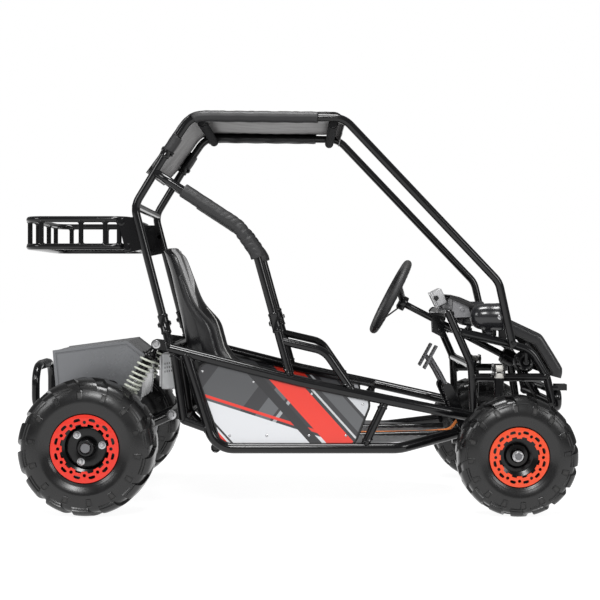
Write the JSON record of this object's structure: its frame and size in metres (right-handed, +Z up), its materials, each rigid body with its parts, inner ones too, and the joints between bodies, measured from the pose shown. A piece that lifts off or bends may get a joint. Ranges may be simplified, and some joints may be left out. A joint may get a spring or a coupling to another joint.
{
  "type": "off road go kart",
  "caption": "Off road go kart: steel tube cage with canopy, bucket seat, luggage rack, lugged tyres, sprung axles, rack steering and pedals.",
  "frame": {"origin": "on the ground, below the middle of the overall box", "axes": "+X forward along the kart, +Y to its left, +Z up"},
  "size_m": [1.6754, 0.98, 1.2074],
  "materials": {
    "black_paint": "gloss",
    "grey_steel": "satin",
    "grey_box": "satin",
    "aluminium": "satin",
    "tyre_rubber": "satin",
    "seat_leather": "satin",
    "pad_cover": "matte",
    "canopy_cloth": "matte",
    "panel_plastic": "gloss",
    "dark_plastic": "matte",
    "lamp_plastic": "gloss",
    "black_rim": "gloss",
    "red_metal": "satin",
    "white_spring": "gloss",
    "grip_plastic": "matte"
  },
  "bodies": {
    "chassis": {"side_frame_right": "black_paint", "side_frame_left": "black_paint", "floor_frame": "black_paint", "nose_frame": "black_paint", "front_bumper": "black_paint", "floor_pan": "aluminium", "roof_cage": "black_paint", "rear_hoop": "black_paint", "bar_pad_right": "pad_cover", "bar_pad_left": "pad_cover", "rear_rack": "black_paint", "canopy": "canopy_cloth", "seat": "seat_leather", "side_panel_right": "panel_plastic", "side_panel_left": "panel_plastic", "cowl": "dark_plastic", "dash_panel": "dark_plastic", "display": "aluminium", "headlight_right": "lamp_plastic", "headlight_left": "lamp_plastic", "controller_box": "aluminium", "front_shock_body_right": "black_paint", "front_shock_body_left": "black_paint"},
    "swing_arm": {"swing_arm": "black_paint", "battery_box": "grey_box", "drive_motor": "aluminium", "rear_bumper": "black_paint"},
    "rear_axle": {"rear_axle": "grey_steel", "drive_sprocket": "grey_steel", "rear_tyre_right": "tyre_rubber", "rear_rim_right": "black_rim", "rear_ring_right": "red_metal", "rear_tyre_left": "tyre_rubber", "rear_rim_left": "black_rim", "rear_ring_left": "red_metal"},
    "steering": {"steering_wheel": "grip_plastic", "steering_column": "grey_steel"},
    "steering_rack": {"steering_rack": "grey_steel"},
    "throttle": {"throttle_pedal": "black_paint"},
    "brake": {"brake_pedal": "black_paint"},
    "rear_shock_body_right": {"rear_shock_body_right": "black_paint", "rear_spring_right": "white_spring"},
    "rear_shock_rod_right": {"rear_shock_rod_right": "grey_steel"},
    "front_arm_right": {"front_arm_right": "black_paint"},
    "knuckle_right": {"knuckle_right": "grey_steel"},
    "front_wheel_right": {"front_tyre_right": "tyre_rubber", "front_rim_right": "black_rim", "front_ring_right": "red_metal"},
    "front_shock_rod_right": {"front_shock_rod_right": "grey_steel"},
    "tie_rod_right": {"tie_rod_right": "grey_steel"},
    "rear_shock_body_left": {"rear_shock_body_left": "black_paint", "rear_spring_left": "white_spring"},
    "rear_shock_rod_left": {"rear_shock_rod_left": "grey_steel"},
    "front_arm_left": {"front_arm_left": "black_paint"},
    "knuckle_left": {"knuckle_left": "grey_steel"},
    "front_wheel_left": {"front_tyre_left": "tyre_rubber", "front_rim_left": "black_rim", "front_ring_left": "red_metal"},
    "front_shock_rod_left": {"front_shock_rod_left": "grey_steel"},
    "tie_rod_left": {"tie_rod_left": "grey_steel"}
  },
  "joints": [
    {"name": "rear_swing", "type": "hinge", "parent": "chassis", "child": "swing_arm", "pos_m": [-0.3962, 0, 0.2694], "axis": [0, 1, 0], "range_deg": [-7, 7], "stiffness_Nm_per_rad": 650, "springref_deg": -4.6},
    {"name": "rear_axle_spin", "type": "hinge", "parent": "swing_arm", "child": "rear_axle", "pos_m": [-0.6168, 0, 0.20243], "axis": [0, 1, 0], "continuous": true},
    {"name": "rear_shock_swing_right", "type": "hinge", "parent": "chassis", "child": "rear_shock_body_right", "pos_m": [-0.43421, -0.2, 0.49587], "axis": [0, 1, 0], "range_deg": [-2, 2]},
    {"name": "rear_shock_slide_right", "type": "slide", "parent": "rear_shock_body_right", "child": "rear_shock_rod_right", "axis": [-0.5042, 0, -0.8636], "range_m": [-0.02, 0.02], "deforming": ["rear_spring_right"]},
    {"name": "front_arm_swing_right", "type": "hinge", "parent": "chassis", "child": "front_arm_right", "pos_m": [0.6512, -0.152, 0.207], "axis": [-1, 0, 0], "range_deg": [-6, 6], "stiffness_Nm_per_rad": 430, "springref_deg": -4.89},
    {"name": "front_shock_slide_right", "type": "slide", "parent": "chassis", "child": "front_shock_rod_right", "axis": [0, 0, 1], "range_m": [-0.016, 0.016]},
    {"name": "knuckle_steer_right", "type": "hinge", "parent": "front_arm_right", "child": "knuckle_right", "pos_m": [0.6512, -0.305, 0.178], "axis": [0, 0, 1], "range_deg": [-16, 16]},
    {"name": "front_wheel_spin_right", "type": "hinge", "parent": "knuckle_right", "child": "front_wheel_right", "pos_m": [0.6512, -0.4075, 0.17712], "axis": [0, 1, 0], "continuous": true},
    {"name": "tie_rod_swing_right", "type": "hinge", "parent": "steering_rack", "child": "tie_rod_right", "pos_m": [0.7212, -0.15, 0.245], "axis": [-1, 0, 0], "range_deg": [-7, 7]},
    {"name": "rear_shock_swing_left", "type": "hinge", "parent": "chassis", "child": "rear_shock_body_left", "pos_m": [-0.43421, 0.2, 0.49587], "axis": [0, 1, 0], "range_deg": [-2, 2]},
    {"name": "rear_shock_slide_left", "type": "slide", "parent": "rear_shock_body_left", "child": "rear_shock_rod_left", "axis": [-0.5042, 0, -0.8636], "range_m": [-0.02, 0.02], "deforming": ["rear_spring_left"]},
    {"name": "front_arm_swing_left", "type": "hinge", "parent": "chassis", "child": "front_arm_left", "pos_m": [0.6512, 0.152, 0.207], "axis": [1, 0, 0], "range_deg": [-6, 6], "stiffness_Nm_per_rad": 430, "springref_deg": -4.89},
    {"name": "front_shock_slide_left", "type": "slide", "parent": "chassis", "child": "front_shock_rod_left", "axis": [0, 0, 1], "range_m": [-0.016, 0.016]},
    {"name": "knuckle_steer_left", "type": "hinge", "parent": "front_arm_left", "child": "knuckle_left", "pos_m": [0.6512, 0.305, 0.178], "axis": [0, 0, 1], "range_deg": [-16, 16]},
    {"name": "front_wheel_spin_left", "type": "hinge", "parent": "knuckle_left", "child": "front_wheel_left", "pos_m": [0.6512, 0.4075, 0.17712], "axis": [0, 1, 0], "continuous": true},
    {"name": "tie_rod_swing_left", "type": "hinge", "parent": "steering_rack", "child": "tie_rod_left", "pos_m": [0.7212, 0.15, 0.245], "axis": [1, 0, 0], "range_deg": [-7, 7]},
    {"name": "steering_turn", "type": "hinge", "parent": "chassis", "child": "steering", "pos_m": [0.3462, 0, 0.621], "axis": [0.8879, 0, -0.46], "range_deg": [-40, 40]},
    {"name": "rack_slide", "type": "slide", "parent": "chassis", "child": "steering_rack", "axis": [0, 1, 0], "range_m": [-0.019, 0.019]},
    {"name": "throttle_press", "type": "hinge", "parent": "chassis", "child": "throttle", "pos_m": [0.4812, -0.09, 0.352], "axis": [0, 1, 0], "range_deg": [0, 20], "stiffness_Nm_per_rad": 4, "springref_deg": -5.73},
    {"name": "brake_press", "type": "hinge", "parent": "chassis", "child": "brake", "pos_m": [0.4812, 0.09, 0.352], "axis": [0, 1, 0], "range_deg": [0, 15], "stiffness_Nm_per_rad": 6, "springref_deg": -5.73}
  ],
  "couplings": [
    {"joint": "rack_slide", "follows": "steering_turn", "m_per_rad": -0.0256},
    {"joint": "rear_shock_swing_right", "follows": "rear_swing", "ratio": 0.22},
    {"joint": "rear_shock_slide_right", "follows": "rear_swing", "m_per_rad": -0.147},
    {"joint": "front_shock_slide_right", "follows": "front_arm_swing_right", "m_per_rad": 0.14},
    {"joint": "tie_rod_swing_right", "follows": "front_arm_swing_right", "ratio": 1},
    {"joint": "knuckle_steer_right", "follows": "steering_turn", "ratio": -0.37},
    {"joint": "rear_shock_swing_left", "follows": "rear_swing", "ratio": 0.22},
    {"joint": "rear_shock_slide_left", "follows": "rear_swing", "m_per_rad": -0.147},
    {"joint": "front_shock_slide_left", "follows": "front_arm_swing_left", "m_per_rad": 0.14},
    {"joint": "tie_rod_swing_left", "follows": "front_arm_swing_left", "ratio": 1},
    {"joint": "knuckle_steer_left", "follows": "steering_turn", "ratio": -0.37}
  ]
}
